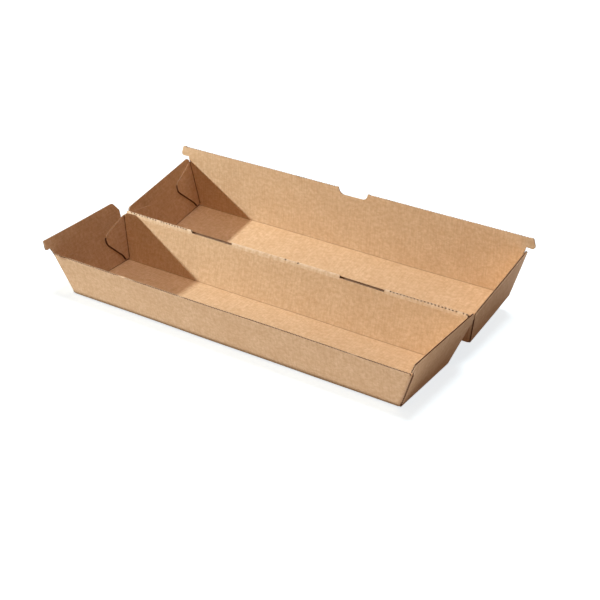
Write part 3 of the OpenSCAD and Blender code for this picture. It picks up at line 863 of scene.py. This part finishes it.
class Nodes:
    """Short calls for building one material's nodes."""

    def __init__(self, name):
        self.material = bpy.data.materials.new(name)
        self.material.use_nodes = True
        self.tree = self.material.node_tree
        self.tree.nodes.clear()
        self.output = self.add("ShaderNodeOutputMaterial")
        self.shader = self.add("ShaderNodeBsdfPrincipled")
        self.link(self.shader, "BSDF", self.output, "Surface")

    def add(self, kind, **values):
        """Adds a node and sets its properties."""
        node = self.tree.nodes.new(kind)
        for key, value in values.items():
            setattr(node, key, value)
        return node

    def link(self, source, output, target, entry):
        """Joins an output to an input, each by its name or number."""
        self.tree.links.new(source.outputs[output], target.inputs[entry])

    def attribute(self, name, output="Fac"):
        """Reads a value that the mesh carries."""
        return self.add("ShaderNodeAttribute", attribute_name=name), output

    def parts(self, vector):
        """Splits a vector; its outputs are X, Y and Z."""
        node = self.add("ShaderNodeSeparateXYZ")
        self.link(vector[0], vector[1], node, 0)
        return node

    def math(self, operation, a, b=0.0):
        """Adds a Math node; a and b are numbers or (node, output) pairs."""
        node = self.add("ShaderNodeMath", operation=operation)
        for entry, value in enumerate((a, b)):
            if isinstance(value, tuple):
                self.link(value[0], value[1], node, entry)
            else:
                node.inputs[entry].default_value = value
        return node, "Value"

    def mix(self, factor, a, b, blend="MIX"):
        """Mixes two colours; each is a colour or a (node, output) pair."""
        node = self.add("ShaderNodeMix", data_type="RGBA", blend_type=blend)
        for entry, value in ((0, factor), (6, a), (7, b)):
            if isinstance(value, tuple) and isinstance(value[0], bpy.types.Node):
                self.link(value[0], value[1], node, entry)
            else:
                node.inputs[entry].default_value = value
        return node, 2

    def scaled(self, source, scale):
        """The source vector times scale, axis by axis."""
        node = self.add("ShaderNodeVectorMath", operation="MULTIPLY")
        self.link(source[0], source[1], node, 0)
        node.inputs[1].default_value = scale
        return node, "Vector"

    def noise(self, source, scale, detail, roughness):
        """Noise of the source vector times scale."""
        vector = self.scaled(source, scale)
        node = self.add("ShaderNodeTexNoise")
        self.link(vector[0], vector[1], node, "Vector")
        node.inputs["Scale"].default_value = 1.0
        node.inputs["Detail"].default_value = detail
        node.inputs["Roughness"].default_value = roughness
        return node, "Fac"

    def spread(self, value, low, high, to_low=0.0, to_high=1.0):
        """Maps the range low to high onto another, clamped."""
        node = self.add("ShaderNodeMapRange")
        self.link(value[0], value[1], node, "Value")
        for key, number in (("From Min", low), ("From Max", high), ("To Min", to_low),
                            ("To Max", to_high)):
            node.inputs[key].default_value = number
        return node, "Result"

    def bump(self, height, strength, distance):
        """Gives the shader a bump."""
        node = self.add("ShaderNodeBump")
        node.inputs["Strength"].default_value = strength
        node.inputs["Distance"].default_value = distance
        self.link(height[0], height[1], node, "Height")
        self.link(node, "Normal", self.shader, "Normal")

    def surface(self, entry, value):
        """Sets one of the shader's inputs, to a value or a (node, output) pair."""
        if isinstance(value, tuple) and isinstance(value[0], bpy.types.Node):
            self.link(value[0], value[1], self.shader, entry)
        else:
            self.shader.inputs[entry].default_value = value


def kraft(name, tone, washboard, worn):
    """Kraft liner: clouds, fibres, flecks and the faint lines of the flutes under it.

    tone darkens all of it, washboard is how much the flutes show, and worn how pale its
    worn parts are. Its creases are darkened with painted shade.
    """
    n = Nodes(name)
    sheet = n.attribute("sheet", "Vector")
    wear, crease = n.attribute("wear"), n.attribute("crease")
    found = {key: n.noise(sheet, *pattern) for key, pattern in PATTERNS.items()}
    mottle = found["mottle"]
    colour = n.mix(n.spread(mottle, *MOTTLE_MIX), KRAFT_MID, KRAFT_LIGHT)
    for key, low, high, strength, stain in STAINS:
        colour = n.mix(n.spread(found[key], low, high, 0.0, strength), colour, stain)
    scuffed = n.math("MULTIPLY", n.spread(wear, WEAR_START, 1.0, 0.0, worn),
                     n.spread(mottle, *SCUFF_MIX))
    colour = n.mix(scuffed, colour, KRAFT_WORN)
    # Creases: a scored line with painted shade, and from 1 to 2 darker painted shade
    colour = n.mix(n.spread(crease, *CREASE_DARK), colour, KRAFT_DARK)
    colour = n.mix(n.spread(crease, *CREASE_SHADE), colour, FLUTE_SHADE)
    turn = n.math("MULTIPLY", (n.parts(sheet), "X"), 2 * math.pi / FLUTE_PITCH)
    lines = n.math("SINE", n.math("ADD", turn, n.math("MULTIPLY", mottle, FLUTE_WOBBLE)))
    line_tone = n.math("MULTIPLY", n.spread(lines, -1.0, 1.0, 0.0, FLUTE_TONE * washboard),
                       n.spread(found["streaks"], *STREAK_MIX))
    colour = n.mix(line_tone, colour, KRAFT_DARK)
    n.surface("Base Color", n.mix(1.0, colour, (tone, tone, tone, 1), "MULTIPLY"))
    height = n.math("ADD", n.math("MULTIPLY", lines, FLUTE_HEIGHT * washboard),
                    n.math("ADD", found["fibres"], n.math("MULTIPLY", mottle, MOTTLE_HEIGHT)))
    n.bump(height, *KRAFT_BUMP)
    n.surface("Roughness", n.spread(mottle, *KRAFT_ROUGHNESS))
    n.surface("Specular IOR Level", KRAFT_SPECULAR)
    return n.material


def cut_edge(name):
    """Cut edge of the board: two liners and the wave of the fluting, crushed in places.

    The hollows of the fluting are painted shade, and edges marked over 1 are darkened all over
    with painted shade.
    """
    n = Nodes(name)
    sheet = n.attribute("sheet", "Vector")
    flutes_and_shade = n.attribute("crease")
    place = n.parts(sheet)
    turn = n.math("MULTIPLY", (place, "X"), 2 * math.pi / FLUTE_PITCH)
    centre = n.math("ADD", n.math("MULTIPLY", n.math("SINE", turn), FLUTE_SWING), 0.5)
    off = n.math("ABSOLUTE", n.math("SUBTRACT", (place, "Z"), centre))
    from_middle = n.math("ABSOLUTE", n.math("SUBTRACT", (place, "Z"), 0.5))
    bias = n.math("MULTIPLY", n.math("SUBTRACT", 0.5, flutes_and_shade), CRUSH_BIAS)
    crushed = n.spread(n.math("ADD", n.noise(sheet, *CRUSH_PATTERN), bias), *CRUSH_MIX)
    paper = n.math("MAXIMUM", n.spread(off, *FLUTE_LINE), n.spread(from_middle, *LINER_LINE))
    paper = n.math("MAXIMUM", paper, crushed)
    speck = n.noise(sheet, *SPECK_PATTERN)
    light = n.mix(n.spread(speck, *SPECK_MIX), KRAFT_MID, KRAFT_WORN)
    # Painted shade in the hollows between the flutes, and over 1 painted shade over the whole
    # edge
    colour = n.mix(paper, FLUTE_SHADE, light)
    n.surface("Base Color", n.mix(n.spread(flutes_and_shade, *EDGE_SHADE), colour, FLUTE_SHADE))
    n.bump(paper, *EDGE_BUMP)
    n.surface("Roughness", EDGE_ROUGHNESS)
    n.surface("Specular IOR Level", EDGE_SPECULAR)
    return n.material


def make_floor():
    """Plain pale floor, which isn't part of the object."""
    n = Nodes("studio_floor")
    place = n.add("ShaderNodeTexCoord"), "Object"
    grain = n.noise(place, *FLOOR_GRAIN)
    n.surface("Base Color", n.mix(n.spread(grain, *FLOOR_MIX), *FLOOR_TONES))
    n.surface("Roughness", FLOOR_ROUGHNESS)
    n.surface("Emission Color", FLOOR_GLOW_TINT)
    n.surface("Emission Strength", FLOOR_GLOW)
    mesh = bmesh.new()
    bmesh.ops.create_grid(mesh, x_segments=FLOOR_CELLS, y_segments=FLOOR_CELLS,
                          size=FLOOR_REACH)
    obj = add_object("studio_floor", mesh, [n.material])
    obj.location = (0, 0, -FLOOR_SINK)
    obj.visible_diffuse = False
    return obj


def make_backdrop():
    """Pale dome behind the floor, which only the camera sees."""
    n = Nodes("studio_backdrop")
    n.surface("Base Color", (0, 0, 0, 1))
    n.surface("Specular IOR Level", 0.0)
    n.surface("Emission Color", (1, 1, 1, 1))
    n.surface("Emission Strength", BACKDROP_GLOW)
    mesh = bmesh.new()
    bmesh.ops.create_uvsphere(mesh, u_segments=64, v_segments=32, radius=BACKDROP_R)
    obj = add_object("studio_backdrop", mesh, [n.material])
    obj.visible_diffuse = obj.visible_glossy = obj.visible_shadow = False


def make_camera():
    """Camera at the photograph's viewing angle."""
    back = Vector((math.sin(CAMERA_TURN) * math.cos(CAMERA_RISE),
                   -math.cos(CAMERA_TURN) * math.cos(CAMERA_RISE), math.sin(CAMERA_RISE)))
    level = Vector((math.cos(CAMERA_TURN), math.sin(CAMERA_TURN), 0))
    rise = back.cross(level)
    right = level * math.cos(CAMERA_ROLL) + rise * math.sin(CAMERA_ROLL)
    up = rise * math.cos(CAMERA_ROLL) - level * math.sin(CAMERA_ROLL)
    data = bpy.data.cameras.new("camera")
    data.sensor_width = CAMERA_SENSOR
    data.lens = CAMERA_LENS
    data.clip_start, data.clip_end = CAMERA_CLIP
    camera = bpy.data.objects.new("camera", data)
    camera.matrix_world = Matrix.Translation(CAMERA_PLACE) @ Matrix(
        (right, up, back)).transposed().to_4x4()
    bpy.context.scene.collection.objects.link(camera)
    bpy.context.scene.camera = camera


def add_area_light(name, place, aim, size, power, tint):
    """Adds a rectangular light that the camera doesn't see."""
    data = bpy.data.lights.new(name, "AREA")
    data.shape, data.size, data.size_y, data.energy = "RECTANGLE", *size, power
    data.color = tint
    lamp = bpy.data.objects.new(name, data)
    lamp.location = place
    lamp.rotation_euler = (Vector(place) - Vector(aim)).to_track_quat("Z", "Y").to_euler()
    lamp.visible_camera = False
    bpy.context.scene.collection.objects.link(lamp)
    return lamp


def make_lights(floor):
    """Key light from the left as in the photograph, and soft light from above and below."""
    for name, place, aim, size, power, tint, link in LIGHTS:
        lamp = add_area_light(name, place, aim, (size, size), power, tint)
        receivers = bpy.data.collections.new(name + "_floor")
        receivers.objects.link(floor)
        receivers.collection_objects[0].light_linking.link_state = link
        lamp.light_linking.receiver_collection = receivers
    for name, x, y, length, width, power, tint in FLOOR_CARDS:
        add_area_light(name, (x, y, CARD_Z), (x, y, 1), (length, width), power, tint)
    world = bpy.data.worlds.new("studio")
    world.use_nodes = True
    world.node_tree.nodes["Background"].inputs["Color"].default_value = WORLD_TINT
    world.node_tree.nodes["Background"].inputs["Strength"].default_value = WORLD_POWER
    bpy.context.scene.world = world
    bpy.context.scene.view_settings.view_transform = "Standard"


make_camera()
make_backdrop()
make_lights(make_floor())
edge = cut_edge("cut_edge")
inside = kraft("kraft_inside", tone=1.0, washboard=0.9, worn=0.35)
outside = kraft("kraft_outside", tone=0.95, washboard=0.6, worn=0.35)
fold_skin = kraft("kraft_fold", tone=0.97, washboard=0.3, worn=0.5)
make_base([inside, outside, edge, fold_skin])
make_lid([inside, outside, edge, fold_skin])
make_ridge(kraft("kraft_ridge", tone=1.0, washboard=0.3, worn=0.9), edge)
